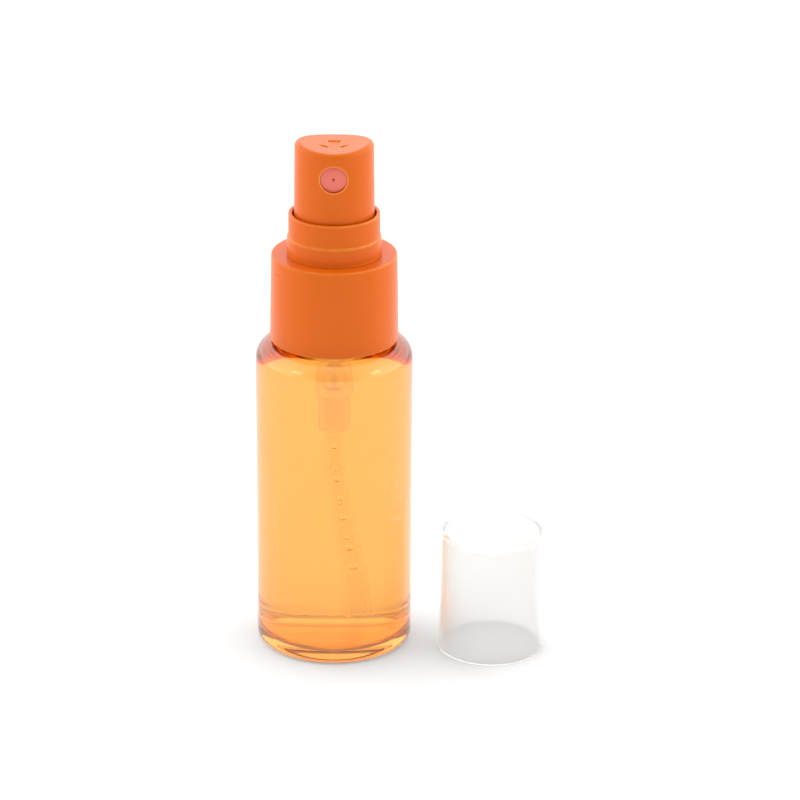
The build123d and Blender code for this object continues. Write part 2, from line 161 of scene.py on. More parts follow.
class NozzleSizes(bpy.types.PropertyGroup):
    dome: size("Dome", "How far the face bulges", 0.2 * MM)
    face: size("Face", "Thickness of the cup's face", 0.7 * MM)
    post: size("Post", "Inner radius of the cup", 1.5 * MM)
    hole: size("Hole", "Radius of the spray hole", 0.18 * MM)
    countersink: size("Countersink", "Radius of the hollow round the spray hole", 0.45 * MM)
    countersink_edge: size("Countersink edge", "Rounding of the hollow's edge", 0.08 * MM)
    countersink_depth: size("Countersink depth", "Depth of the hollow", 0.25 * MM)
    swirl: size("Swirl", "Radius of the swirl recess behind the hole", 0.8 * MM)
    swirl_depth: size("Swirl depth", "Depth of the swirl recess", 0.2 * MM)


class SpringSizes(bpy.types.PropertyGroup):
    wire: size("Wire", "Radius of the spring's wire", 0.25 * MM)
    coils: number_of("Coils", "Coils of the spring", 9, 20)


class TubeSizes(bpy.types.PropertyGroup):
    bubbles: number_of("Bubbles", "Bubbles trapped in the dip tube", 9, 30)
    bubble: size("Bubble", "Largest radius of a bubble", 0.52 * MM)


class CapSizes(bpy.types.PropertyGroup):
    wall: size("Wall", "Thickness of the overcap's wall", 0.8 * MM)
    head: size("Head", "Outer radius at the closed end", 9.9 * MM)
    waist: size("Waist", "Outer radius where the flare starts", 10.08 * MM)
    waist_height: size("Waist height", "Height where the flare starts", 10.0 * MM)
    edge: size("Edge", "Rounding of the closed end's rim", 0.5 * MM)
    inner_edge: size("Inner edge", "Rounding of the closed end's inner corner", 0.4 * MM)
    gate: size("Gate", "Radius of the gate mark on the closed end", 1.1 * MM)
    gate_edge: size("Gate edge", "Rounding of the gate mark's edge", 0.06 * MM)
    gate_depth: size("Gate depth", "Depth of the gate mark", 0.2 * MM)


class Colours(bpy.types.PropertyGroup):
    orange: colour("Orange", "Opaque orange of the collar, sleeve and actuator", (0.745, 0.131, 0.002))
    # rim is painted highlight: the paler yellow orange laid on rounded rims and edges where glossy
    # highlights fall
    rim: colour("Rim", "Orange where light shines through thin rims", (0.95, 0.36, 0.06))
    nozzle: colour("Nozzle", "Salmon pink of the nozzle insert", (0.82, 0.18, 0.13))
    bottle: colour("Bottle", "Tint that the bottle's wall gives to light", (0.98, 0.65, 0.27))
    natural: colour("Natural plastic", "Undyed plastic of the pump's body", (0.86, 0.70, 0.46))
    tube: colour("Dip tube", "Undyed plastic of the dip tube", (0.975, 0.95, 0.88))
    clear: colour("Clear plastic", "Overcap", (0.845, 0.84, 0.83))


class SprayProps(bpy.types.PropertyGroup):
    bottle: PointerProperty(type=BottleSizes)
    liquid: PointerProperty(type=LiquidSizes)
    collar: PointerProperty(type=CollarSizes)
    sleeve: PointerProperty(type=SleeveSizes)
    nozzle: PointerProperty(type=NozzleSizes)
    spring: PointerProperty(type=SpringSizes)
    tube: PointerProperty(type=TubeSizes)
    cap: PointerProperty(type=CapSizes)
    colours: PointerProperty(type=Colours)


def props(context):
    return context.scene.lens_spray


# ---- modelling -------------------------------------------------------------------------------

FACETS = 160
NOZZLE_FACETS = 64
WIRE_FACETS = 12
COIL_FACETS = 28
BUBBLE_FACETS = 20
BUBBLE_RINGS = 14
TINY = 1e-6

# how deep a thread's root is sunk into its wall, and the roundings that many moulded edges share

ROOTED = 0.15 * MM
CRISP = 0.1 * MM
FINE = 0.15 * MM
SOFT = 0.2 * MM
EASED = 0.25 * MM
INSIDE = 0.3 * MM

# the curve of the liquid's surface at the neck: millimetres inwards, and share of the climb

MENISCUS = ((0, 1.0), (0.08, 0.6), (0.3, 0.3), (0.7, 0.1), (1.4, 0))

# the bubbles: the shares of the dip tube's height they lie between, what moves them out of even
# steps, and how their upper and lower halves are drawn out or pressed flat

BUBBLES_BETWEEN = (0.2, 0.8)
UNEVEN = (0.1, 0.55, 0.3, 0.7, 0.0)
BUBBLE_HEAD = (0.92, 0.92, 1.7)
BUBBLE_TAIL = (1, 1, 0.7)


def clear_selection():
    if bpy.context.object and bpy.context.object.mode == "EDIT":
        bpy.ops.object.mode_set(mode="OBJECT")
    bpy.ops.object.select_all(action="DESELECT")


def start_edit():
    bpy.ops.object.mode_set(mode="EDIT")


def end_edit():
    bpy.ops.object.mode_set(mode="OBJECT")


def apply_place():
    bpy.ops.object.transform_apply(location=True, rotation=True, scale=True)


def named(name):
    piece = bpy.context.object
    piece.name = piece.data.name = name
    return piece


def pick(test):
    """In edit mode, select the vertices whose place passes the test, with their edges and faces."""
    bpy.ops.mesh.select_all(action="DESELECT")
    mesh = bmesh.from_edit_mesh(bpy.context.object.data)
    for vertex in mesh.verts:
        vertex.select_set(test(vertex.co))
    mesh.select_flush(True)
    bmesh.update_edit_mesh(bpy.context.object.data)


def pick_ring(radius, height, at=AXIS):
    """Select the ring of edges at this radius and height."""
    def on_ring(place):
        return (
            abs(math.hypot(place.x - at[0], place.y - at[1]) - radius) < 5 * TINY
            and abs(place.z - height) < 5 * TINY
        )
    pick(on_ring)


def rounded(radius, height, rounding, segments=8):
    return (radius, height, rounding, segments)


def dome(radius, rim, rise, steps):
    """Corners of a shallow dome from its rim towards the axis, which is left to the pole."""
    ball = (radius ** 2 + rise ** 2) / (2 * abs(rise))
    corners = []
    for step in range(steps):
        r = radius * (1 - step / steps)
        drop = ball - math.sqrt(ball ** 2 - r ** 2)
        corners.append((r, rim + math.copysign(abs(rise) - drop, rise)))
    return corners


def tangent_length(before, corner, after, rounding):
    """How far from its corner a round of this radius starts."""
    arriving = Vector((corner[0] - before[0], corner[1] - before[1]))
    leaving = Vector((after[0] - corner[0], after[1] - corner[1]))
    return rounding * math.tan(arriving.angle(leaving) / 2)


def turn_on_axis(name, corners, at=AXIS, facets=FACETS, loop=False, start_pole=None, end_pole=None):
    """Turned piece: a circle is drawn out from corner to corner, then the round corners are bevelled.
    A loop closes on its first corner; a pole closes an end on the axis at its height."""
    clear_selection()
    radius, height = corners[0][:2]
    bpy.ops.mesh.primitive_circle_add(vertices=facets, radius=radius, location=(at[0], at[1], height))
    piece = named(name)
    apply_place()
    start_edit()
    bpy.ops.mesh.select_all(action="SELECT")
    path = [corner[:2] for corner in corners[1:]] + ([corners[0][:2]] if loop else [])
    for next_radius, next_height in path:
        draw_out(radius, height, next_radius, next_height, at)
        radius, height = next_radius, next_height
    if end_pole is not None:
        draw_out(radius, height, 0, end_pole, at)
    if start_pole is not None:
        pick_ring(*corners[0][:2], at)
        draw_out(*corners[0][:2], 0, start_pole, at)
    bpy.ops.mesh.select_all(action="SELECT")
    bpy.ops.mesh.remove_doubles(threshold=TINY)
    bpy.ops.mesh.normals_make_consistent(inside=False)
    round_corners(corners, at, loop, start_pole, end_pole)
    end_edit()
    return piece


def draw_out(radius, height, next_radius, next_height, at):
    """Extrude the selected ring to a new height and radius."""
    bpy.ops.mesh.extrude_edges_move(TRANSFORM_OT_translate={"value": (0, 0, next_height - height)})
    scale = next_radius / radius
    bpy.ops.transform.resize(value=(scale, scale, 1), center_override=(at[0], at[1], next_height))


def round_corners(corners, at, loop, start_pole, end_pole):
    """Bevel each ring whose corner has a rounding."""
    for i, corner in enumerate(corners):
        if len(corner) < 4:
            continue
        before = corners[i - 1] if i or loop else (0, start_pole)
        after = corners[(i + 1) % len(corners)] if i + 1 < len(corners) or loop else (0, end_pole)
        pick_ring(*corner[:2], at)
        bpy.ops.mesh.bevel(
            offset=tangent_length(before, corner, after, corner[2]),
            segments=corner[3],
            affect="EDGES",
            clamp_overlap=False,
        )


def choose(piece):
    """Make one piece the only selected one."""
    clear_selection()
    piece.select_set(True)
    bpy.context.view_layer.objects.active = piece


def smooth(piece, angle=40):
    """Smooth shading that keeps edges sharper than the angle."""
    choose(piece)
    bpy.ops.object.shade_smooth_by_angle(angle=math.radians(angle))


def apply_modifier(piece, kind, **values):
    """Add a modifier, set it and apply it."""
    choose(piece)
    bpy.ops.object.modifier_add(type=kind)
    modifier = piece.modifiers[-1]
    for key, value in values.items():
        setattr(modifier, key, value)
    bpy.ops.object.modifier_apply(modifier=modifier.name)


def cut(piece, tool, operation="DIFFERENCE"):
    """Boolean with a tool that is thrown away."""
    apply_modifier(piece, "BOOLEAN", object=tool, operation=operation, solver="EXACT")
    bpy.data.objects.remove(tool)


def wind(outline, turns, rise, steps, sides):
    """Wind a small outline up about Z, and close the two ends."""
    apply_modifier(
        outline, "SCREW", angle=2 * math.pi * turns, screw_offset=rise,
        steps=steps, render_steps=steps, use_merge_vertices=False,
    )
    start_edit()
    bpy.ops.mesh.select_all(action="SELECT")
    bpy.ops.mesh.fill_holes(sides=sides)
    bpy.ops.mesh.select_all(action="SELECT")
    bpy.ops.mesh.normals_make_consistent(inside=False)
    end_edit()


def helical_ridge(name, root, crest, half_root, half_crest, start, pitch, turns):
    """Thread ridge: a small trapezoid in the upright plane, wound up about Z."""
    clear_selection()
    bpy.ops.mesh.primitive_plane_add(
        size=1, location=((root + crest) / 2, 0, start), rotation=(math.pi / 2, 0, 0)
    )
    ridge = named(name)
    ridge.scale = (abs(crest - root), 2 * half_root, 1)
    apply_place()
    start_edit()
    pick(lambda place: abs(place.x - crest) < TINY)
    squeeze = half_crest / half_root
    bpy.ops.transform.resize(value=(1, 1, squeeze), center_override=(crest, 0, start))
    bpy.ops.mesh.select_all(action="SELECT")
    bpy.ops.mesh.delete(type="ONLY_FACE")
    end_edit()
    wind(ridge, turns, pitch * turns, steps=int(FACETS * turns), sides=4)
    return ridge


def finished(piece, body, slot, material, *nodes):
    """Give a piece its material and body, and let it stand for its CAD nodes; the slot argument is not
    used.
    """
    piece.data.materials.clear()
    piece.data.materials.append(material)
    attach(piece, body)
    if nodes:
        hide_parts(*nodes)
    return piece


# ---- materials --------------------------------------------------------------------------------


def feed(tree, socket, value):
    """Link another node's output to a socket, or give the socket a value of its own."""
    if isinstance(value, bpy.types.NodeSocket):
        tree.links.new(value, socket)
    else:
        socket.default_value = value


def node(tree, kind, settings=None, **inputs):
    """Add a node; settings are its own choices and inputs its sockets, with _ for a space."""
    made = tree.nodes.new(kind)
    for key, value in (settings or {}).items():
        setattr(made, key, value)
    for key, value in inputs.items():
        feed(tree, made.inputs[key.replace("_", " ")], value)
    return made


def math_node(tree, operation, first, second):
    """Add a node that works out one number from two."""
    made = tree.nodes.new("ShaderNodeMath")
    made.operation = operation
    feed(tree, made.inputs[0], first)
    feed(tree, made.inputs[1], second)
    return made.outputs[0]


def new_group(name, inputs, outputs):
    """Shader node group with float inputs (name: default) and outputs (name: kind)."""
    group = bpy.data.node_groups.new(name, "ShaderNodeTree")
    for label, value in inputs.items():
        kind = "NodeSocketColor" if isinstance(value, tuple) else "NodeSocketFloat"
        socket = group.interface.new_socket(name=label, in_out="INPUT", socket_type=kind)
        socket.default_value = value
    for label, kind in outputs.items():
        group.interface.new_socket(name=label, in_out="OUTPUT", socket_type=kind)
    return group, group.nodes.new("NodeGroupInput").outputs, group.nodes.new("NodeGroupOutput").inputs


def moulded_grain_group():
    """Fine moulded grain: roughness that varies over the surface, and a height for a Bump node."""
    group, given, result = new_group(
        "Moulded grain",
        {"Scale": 900.0, "Roughness": 0.35, "Spread": 0.1, "Height": 1.0},
        {"Roughness": "NodeSocketFloat", "Height": "NodeSocketFloat"},
    )
    place = node(group, "ShaderNodeTexCoord").outputs["Object"]
    fine = node(group, "ShaderNodeTexNoise", Vector=place, Scale=given["Scale"], Detail=4.0, Roughness=0.6)
    slow_scale = math_node(group, "MULTIPLY", given["Scale"], 0.15)
    slow = node(group, "ShaderNodeTexNoise", Vector=place, Scale=slow_scale, Detail=3.0)
    both = math_node(group, "ADD", fine.outputs["Fac"], slow.outputs["Fac"])
    centred = math_node(group, "SUBTRACT", both, 1.0)
    swing = math_node(group, "MULTIPLY", centred, given["Spread"])
    group.links.new(math_node(group, "ADD", given["Roughness"], swing), result["Roughness"])
    group.links.new(math_node(group, "MULTIPLY", fine.outputs["Fac"], given["Height"]), result["Height"])
    return group


def edge_wear_and_highlight_group():
    """Mask that is 1 on rounded corners and 0 on flats, broken up by noise, where a paler colour goes; on
    the orange rims that paler colour is painted highlight.
    """
    group, given, result = new_group(
        "Edge wear",
        {"Reach": 0.0002, "Amount": 1.0, "Break-up": 600.0},
        {"Mask": "NodeSocketFloat"},
    )
    soft = node(group, "ShaderNodeBevel", {"samples": 4}, Radius=given["Reach"])
    flat = node(group, "ShaderNodeNewGeometry").outputs["Normal"]
    likeness = node(group, "ShaderNodeVectorMath", {"operation": "DOT_PRODUCT"})
    group.links.new(soft.outputs["Normal"], likeness.inputs[0])
    group.links.new(flat, likeness.inputs[1])
    turned = math_node(group, "SUBTRACT", 1.0, likeness.outputs["Value"])
    strong = math_node(group, "MULTIPLY", turned, 9.0)
    place = node(group, "ShaderNodeTexCoord").outputs["Object"]
    noise = node(group, "ShaderNodeTexNoise", Vector=place, Scale=given["Break-up"], Detail=3.0)
    broken = math_node(group, "MULTIPLY", strong, noise.outputs["Fac"])
    mask = math_node(group, "MULTIPLY", broken, given["Amount"])
    clamp = node(group, "ShaderNodeClamp", Value=mask)
    group.links.new(clamp.outputs[0], result["Mask"])
    return group


def dye_flow_group():
    """Slow drift of the dye in moulded plastic, between a main and a deeper colour."""
    group, given, result = new_group(
        "Dye flow",
        {"Main": (0.8, 0.8, 0.8, 1.0), "Deep": (0.6, 0.6, 0.6, 1.0), "Scale": 120.0, "Amount": 0.5},
        {"Colour": "NodeSocketColor"},
    )
    place = node(group, "ShaderNodeTexCoord").outputs["Object"]
    stretched = node(group, "ShaderNodeMapping", Vector=place, Scale=(1.0, 1.0, 0.35))
    drift = node(
        group, "ShaderNodeTexNoise",
        Vector=stretched.outputs[0], Scale=given["Scale"], Detail=5.0, Distortion=0.8,
    )
    part = math_node(group, "MULTIPLY", drift.outputs["Fac"], given["Amount"])
    mix = node(group, "ShaderNodeMix", {"data_type": "RGBA"})
    group.links.new(part, mix.inputs["Factor"])
    group.links.new(given["Main"], mix.inputs[6])
    group.links.new(given["Deep"], mix.inputs[7])
    group.links.new(mix.outputs[2], result["Colour"])
    return group


GROUP_MAKERS = {
    "Moulded grain": moulded_grain_group,
    "Edge wear": edge_wear_and_highlight_group,
    "Dye flow": dye_flow_group,
}


def place_group(tree, name, **inputs):
    """Place a shared effect in a material, and build it the first time."""
    shared = bpy.data.node_groups.get(name) or GROUP_MAKERS[name]()
    made = tree.nodes.new("ShaderNodeGroup")
    made.node_tree = shared
    for key, value in inputs.items():
        made.inputs[key.replace("_", " ")].default_value = value
    return made.outputs


def opaque(rgb, by=1.0):
    return tuple(min(1.0, c * by) for c in rgb) + (1.0,)


def blank_material(name):
    """Material with a Principled shader, ready to be linked."""
    material = bpy.data.materials.new(name)
    material.use_nodes = True
    return material, material.node_tree, material.node_tree.nodes["Principled BSDF"]


def set_own(shader, own):
    """Set a shader's sockets that only one material needs."""
    for key, value in own.items():
        shader.inputs[key.replace("_", " ")].default_value = value


def moulded_plastic(
    name, rgb, roughness=0.35, spread=0.12, grain=900.0, bump=0.06,
    wear_and_highlight_amount=0.5, rim=None, reach=0.2 * MM, depth=0.8, **own
):
    """Opaque moulded plastic: drifting dye, paler corners (painted highlight where a rim colour is given),
    fine grain.
    """
    material = bpy.data.materials.get(name)
    if material:
        return material
    material, tree, shader = blank_material(name)
    dye = place_group(tree, "Dye flow", Main=opaque(rgb), Deep=opaque(rgb, depth), Amount=0.5)
    # the corner mask lays a paler colour on rounded edges; with the orange's rim colour this is painted
    # highlight
    wear_and_highlight = place_group(tree, "Edge wear", Amount=wear_and_highlight_amount, Reach=reach)
    pale = node(tree, "ShaderNodeMix", {"data_type": "RGBA"})
    tree.links.new(wear_and_highlight["Mask"], pale.inputs["Factor"])
    tree.links.new(dye["Colour"], pale.inputs[6])
    pale.inputs[7].default_value = opaque(rim or [c * 0.6 + 0.4 for c in rgb])
    tree.links.new(pale.outputs[2], shader.inputs["Base Color"])
    surface = place_group(tree, "Moulded grain", Scale=grain, Roughness=roughness, Spread=spread)
    tree.links.new(surface["Roughness"], shader.inputs["Roughness"])
    relief = node(tree, "ShaderNodeBump", Strength=bump, Distance=0.02 * MM, Height=surface["Height"])
    tree.links.new(relief.outputs["Normal"], shader.inputs["Normal"])
    set_own(shader, own)
    return material


def clear_material(
    name, rgb, ior, roughness=0.02, spread=0.02, wave=0.0, wave_scale=60.0, absorb=None, density=0.0, **own
):
    """See-through plastic or liquid, tinted at its faces and by its depth, with a slightly wavy surface."""
    material = bpy.data.materials.get(name)
    if material:
        return material
    material, tree, shader = blank_material(name)
    shader.inputs["Base Color"].default_value = opaque(rgb)
    shader.inputs["Transmission Weight"].default_value = 1.0
    shader.inputs["IOR"].default_value = ior
    surface = place_group(tree, "Moulded grain", Scale=wave_scale, Roughness=roughness, Spread=spread)
    tree.links.new(surface["Roughness"], shader.inputs["Roughness"])
    if wave:
        relief = node(tree, "ShaderNodeBump", Strength=1.0, Distance=wave, Height=surface["Height"])
        tree.links.new(relief.outputs["Normal"], shader.inputs["Normal"])
    if density:
        depth = node(tree, "ShaderNodeVolumeAbsorption", Color=opaque(absorb), Density=density)
        tree.links.new(depth.outputs[0], tree.nodes["Material Output"].inputs["Volume"])
    set_own(shader, own)
    return material


LIQUID_IOR = 1.36
STEM_WHITE = (0.8, 0.78, 0.74)
WAX_WHITE = (0.8, 0.8, 0.78)
FOAM_WHITE = (0.85, 0.85, 0.85)
RUBBER_BLACK = (0.05, 0.05, 0.05)
SPRING_GREY = (0.8, 0.8, 0.82)
# painted glow that lifts the metal parts inside the bottle, which would go dark behind the clear walls
PAINTED_GLOW = (1.0, 0.95, 0.85, 1.0)


def orange_plastic(context):
    colours = props(context).colours
    # the rim colour on the orange's rounded edges is painted highlight, a paler line where glossy
    # highlights fall
    return moulded_plastic(
        "moulded orange", colours.orange, roughness=0.3, wear_and_highlight_amount=2.2, rim=colours.rim, reach=0.45 * MM, IOR=1.3
    )


def bottle_plastic(context):
    return clear_material(
        "clear orange", props(context).colours.bottle, 1.55, roughness=0.0, spread=0.01,
        wave=0.004 * MM, wave_scale=120.0, absorb=(0.97, 0.66, 0.3), density=60.0,
    )


def liquid_material():
    return clear_material("lens cleaner", (1.0, 0.985, 0.95), LIQUID_IOR, roughness=0.0, spread=0.0)


def natural_plastic(context):
    # the emission is painted light: a warm glow that stands in for light scattered inside the milky housing
    return clear_material(
        "undyed plastic", props(context).colours.natural, 1.12, roughness=0.6, spread=0.1,
        Emission_Color=(1.0, 0.93, 0.8, 1.0), Emission_Strength=0.12,
    )


def tube_plastic(context):
    return clear_material("tube wall", props(context).colours.tube, 1.04, roughness=0.06, spread=0.06)


def clear_plastic(context):
    # the emission is painted light: a faint white glow that stands in for the haze of light scattered in
    # the milky cap
    return clear_material(
        "clear cap", props(context).colours.clear, 1.38, roughness=0.16, spread=0.06,
        wave=0.002 * MM, wave_scale=200.0, Emission_Color=(1.0, 0.99, 0.98, 1.0), Emission_Strength=0.035,
    )


# ---- the white room: how bright it is all round, more to the sides, less in front ----------------

ROOM_GLOW = 0.93
SIDE_GLOW = 1.45
FRONT_SHADE = 0.78
BACK_GLOW = 0.68

# light paths cross many clear walls before they leave the filled bottle

WALLS_CROSSED = 48

# the floor: its size in metres, its white, and its own fill light

FLOOR_SIZE = 6.0
FLOOR_WHITE = 0.76
FLOOR_FILL = 0.23

# softboxes: name, place, width in metres, and power in watts; all aim at the middle of the bottle

LAMPS_AIM = (0.01, 0, 0.05)
LAMPS = (
    ("overhead_softbox", (0.0, 0.1, 0.75), 0.25, 0.35),
    ("left_softbox", (-0.6, -0.35, 0.45), 0.2, 0.25),
    ("right_softbox", (0.65, -0.25, 0.4), 0.2, 0.25),
)

# the camera: its place in millimetres, its lens, and how far it looks down and rolls, in radians

CAMERA_PLACE = (12.6, -669.23, 324.47)
CAMERA_LENS = 169.85
LOOKING_DOWN = 0.390
CAMERA_ROLL = 0.0072


# ---- operators ---------------------------------------------------------------------------------


class StageOperator(bpy.types.Operator):
    """Put down the floor, the lights and the camera"""

    bl_idname = "lens_spray.stage"
    bl_label = "Stage"

    def execute(self, context):
        self.floor()
        self.surroundings(context)
        self.lights()
        self.camera(context)
        return {"FINISHED"}

    def floor(self):
        clear_selection()
        bpy.ops.mesh.primitive_plane_add(size=FLOOR_SIZE, location=(0, 0, foot_of("bottle")))
        sheet = named("floor")
        apply_place()
        material, tree, shader = blank_material("pale_floor")
        shader.inputs["Base Color"].default_value = opaque([FLOOR_WHITE] * 3)
        shader.inputs["Roughness"].default_value = 0.9
        shader.inputs["Specular IOR Level"].default_value = 0.0
        shader.inputs["Emission Color"].default_value = (1.0, 1.0, 1.0, 1.0)
        shader.inputs["Emission Strength"].default_value = FLOOR_FILL
        sheet.data.materials.append(material)

    def surroundings(self, context):
        world = bpy.data.worlds.new("white_room")
        context.scene.world = world
        world.use_nodes = True
        tree = world.node_tree
        way = node(tree, "ShaderNodeTexCoord").outputs["Generated"]
        parts = node(tree, "ShaderNodeSeparateXYZ", Vector=way).outputs
        squared = math_node(tree, "MULTIPLY", parts["X"], parts["X"])
        sideways = math_node(tree, "MULTIPLY", squared, SIDE_GLOW)
        in_front = math_node(tree, "MULTIPLY", math_node(tree, "MINIMUM", parts["Y"], 0.0), FRONT_SHADE)
        behind = math_node(tree, "MULTIPLY", math_node(tree, "MAXIMUM", parts["Y"], 0.0), BACK_GLOW)
        ends = math_node(tree, "ADD", in_front, behind)
        glow = math_node(tree, "ADD", math_node(tree, "ADD", sideways, ends), ROOM_GLOW)
        tree.nodes["Background"].inputs["Color"].default_value = (1, 1, 1, 1)
        tree.links.new(glow, tree.nodes["Background"].inputs["Strength"])
        context.scene.view_settings.view_transform = "Standard"
        light = context.scene.cycles
        light.max_bounces = light.transmission_bounces = WALLS_CROSSED
        light.glossy_bounces = WALLS_CROSSED // 2

    def lights(self):
        aim = Vector(LAMPS_AIM)
        for name, place, width, power in LAMPS:
            clear_selection()
            bpy.ops.object.light_add(type="AREA", location=place)
            lamp = bpy.context.object
            lamp.name = lamp.data.name = name
            lamp.data.size = width
            lamp.data.energy = power
            lamp.rotation_euler = (aim - Vector(place)).to_track_quat("-Z", "Y").to_euler()

    def camera(self, context):
        aim = Matrix.Rotation(math.pi / 2 - LOOKING_DOWN, 3, "X") @ Matrix.Rotation(CAMERA_ROLL, 3, "Z")
        clear_selection()
        bpy.ops.object.camera_add(location=[MM * place for place in CAMERA_PLACE], rotation=aim.to_euler())
        camera = bpy.context.object
        camera.name = camera.data.name = "camera"
        camera.data.lens = CAMERA_LENS
        camera.data.sensor_width = 36.0
        camera.data.clip_end = 20.0
        context.scene.camera = camera


class BottleOperator(bpy.types.Operator):
    """Turn the bottle, with its pushed-up foot, thick floor, shoulder and threaded neck"""

    bl_idname = "lens_spray.bottle"
    bl_label = "Bottle"

    def execute(self, context):
        b = props(context).bottle
        radius, top = radius_of("bottle"), top_of("bottle")
        inner, ceiling = radius - b.wall, b.shoulder_top - b.wall
        foot = foot_of("bottle")
        outline = [
            *dome(b.foot_ring, foot, b.push_up, 6)[::-1],
            rounded(radius, foot, b.heel),
            rounded(radius, b.shoulder_top, b.shoulder, 14),
            rounded(b.neck, b.shoulder_top, b.neck_root, 5),
            rounded(b.neck, top, INSIDE, 4),
            rounded(b.neck_bore, top, FINE, 3),
            rounded(b.neck_bore, ceiling, INSIDE, 4),
            rounded(inner, ceiling, b.shoulder - b.wall, 12),
            rounded(inner, b.floor, b.inner_heel, 10),
            *dome(b.foot_ring, b.floor, b.floor_crown, 6),
        ]
        bottle = turn_on_axis(
            "bottle_shell", outline, start_pole=foot + b.push_up, end_pole=b.floor + b.floor_crown,
        )
        ridge = helical_ridge(
            "thread", b.neck - ROOTED, b.thread, b.thread_root, b.thread_crest,
            b.thread_start, b.pitch, b.turns,
        )
        cut(bottle, ridge, "UNION")
        smooth(bottle)
        finished(bottle, "bottle", "bottle_plastic", bottle_plastic(context), "bottle")
        return {"FINISHED"}


class LiquidOperator(bpy.types.Operator):
    """Fill the bottle; the liquid just touches into the wall so that no air shows between them"""

    bl_idname = "lens_spray.liquid"
    bl_label = "Cleaning liquid"

    def execute(self, context):
        b, liquid = props(context).bottle, props(context).liquid
        inner = radius_of("bottle") - b.wall + liquid.soak
        bottom = b.floor - liquid.soak
        ceiling = b.shoulder_top - b.wall + liquid.soak
        neck = b.neck_bore + liquid.soak
        primed = (foot_of("stem_seal") + top_of("stem_seal")) / 2
        outline = [
            *dome(b.foot_ring, bottom, b.floor_crown, 6)[::-1],
            rounded(inner, bottom, b.inner_heel, 10),
            rounded(inner, ceiling, b.shoulder - b.wall, 12),
            rounded(neck, ceiling, INSIDE, 4),
            *[(neck - inwards * MM, liquid.level + climb * liquid.meniscus) for inwards, climb in MENISCUS],
            (liquid.chamber, liquid.level),
            (liquid.chamber, primed),
        ]
        fill = turn_on_axis(
            "cleaning_liquid_fill", outline, start_pole=bottom + b.floor_crown, end_pole=primed,
        )
        smooth(fill)
        finished(fill, "bottle", "liquid", liquid_material(), "cleaning_liquid")
        return {"FINISHED"}


class OvercapOperator(bpy.types.Operator):
    """Turn the clear overcap that stands beside the bottle, with its flared foot and gate mark"""

    bl_idname = "lens_spray.overcap"
    bl_label = "Overcap"

    def execute(self, context):
        cap = props(context).cap
        at = middle_of("overcap")
        foot, top, flare = foot_of("overcap"), top_of("overcap"), radius_of("overcap")
        outside = self.wall(cap, flare, foot, top, 0)
        inside = self.wall(cap, flare, foot, top, cap.wall)
        outline = [
            rounded(flare, foot, SOFT, 3),
            *outside,
            rounded(cap.head, top, cap.edge, 6),
            rounded(cap.gate, top, cap.gate_edge, 2),
            (cap.gate, top - cap.gate_depth),
        ]
        ceiling = top - cap.wall
        inner_outline = [
            rounded(cap.head - cap.wall, ceiling, cap.inner_edge, 5),
            *inside[::-1],
            rounded(flare - cap.wall, foot, SOFT, 3),
        ]
        shell = turn_on_axis(
            "overcap_shell", inner_outline + outline, at, start_pole=ceiling, end_pole=top - cap.gate_depth
        )
        smooth(shell)
        finished(shell, "overcap", "clear_plastic", clear_plastic(context), "overcap")
        return {"FINISHED"}

    def wall(self, cap, flare, foot, top, inset):
        """Corners up the wall: a flared foot that runs tangent into the nearly straight side."""
        corners = []
        for step in range(1, 6):
            up = step / 6
            lean = (1 - up) ** 2
            corners.append((cap.waist + (flare - cap.waist) * lean - inset, foot + cap.waist_height * up))
        corners.append((cap.waist - inset, foot + cap.waist_height))
        return corners


class CollarOperator(bpy.types.Operator):
    """Turn the screw collar, with the thread inside that grips the neck"""

    bl_idname = "lens_spray.collar"
    bl_label = "Screw collar"

    def execute(self, context):
        b, collar = props(context).bottle, props(context).collar
        foot, top, radius = foot_of("screw_collar"), top_of("screw_collar"), radius_of("screw_collar")
        roof = top - collar.roof
        outline = [
            rounded(collar.bore, foot, INSIDE, 3),
            rounded(radius, foot, EASED, 4),
            rounded(radius - collar.draft, top, collar.edge, 8),
            rounded(collar.eye, top, CRISP, 2),
            (collar.eye, roof),
            rounded(collar.bore, roof, INSIDE, 4),
        ]
        shell = turn_on_axis("screw_collar_shell", outline, loop=True)
        ridge = helical_ridge(
            "collar_thread", collar.bore + ROOTED, collar.thread, collar.thread_root, collar.thread_crest,
            b.thread_start - collar.thread_drop, b.pitch, b.turns,
        )
        cut(shell, ridge, "UNION")
        smooth(shell)
        finished(shell, "screw_collar", "orange_plastic", orange_plastic(context), "screw_collar")
        return {"FINISHED"}


class SleeveOperator(bpy.types.Operator):
    """Turn the two-step sleeve that snaps into the pump and guides the actuator"""

    bl_idname = "lens_spray.sleeve"
    bl_label = "Pump sleeve"

    def execute(self, context):
        s = props(context).sleeve
        foot, top, radius = foot_of("pump_sleeve"), top_of("pump_sleeve"), radius_of("pump_sleeve")
        seat, snap = top_of("pump_housing"), foot + s.snap
        outline = [
            (s.guide_bore, seat),
            (s.guide_bore, s.guide_top),
            rounded(s.guide, s.guide_top, FINE, 3),
            (s.guide, s.web_top),
            rounded(s.bore, s.web_top, INSIDE, 4),
            rounded(s.bore, top, SOFT, 4),
            rounded(s.head, top, EASED, 5),
            rounded(s.head, s.step, s.ledge_root, 3),
            rounded(radius, s.step, SOFT, 5),
            (radius, seat),
            (s.skirt, seat),
            (s.skirt, snap + s.snap_height),
            (s.skirt + 0.75 * s.snap_height, snap),
            (s.skirt, snap - s.snap_height),
            (s.skirt, foot),
            (s.skirt_bore, foot),
            (s.skirt_bore, seat),
        ]
        sleeve = turn_on_axis("pump_sleeve_turned", outline, loop=True)
        smooth(sleeve)
        finished(sleeve, "pump_unit", "orange_plastic", orange_plastic(context), "pump_sleeve")
        return {"FINISHED"}


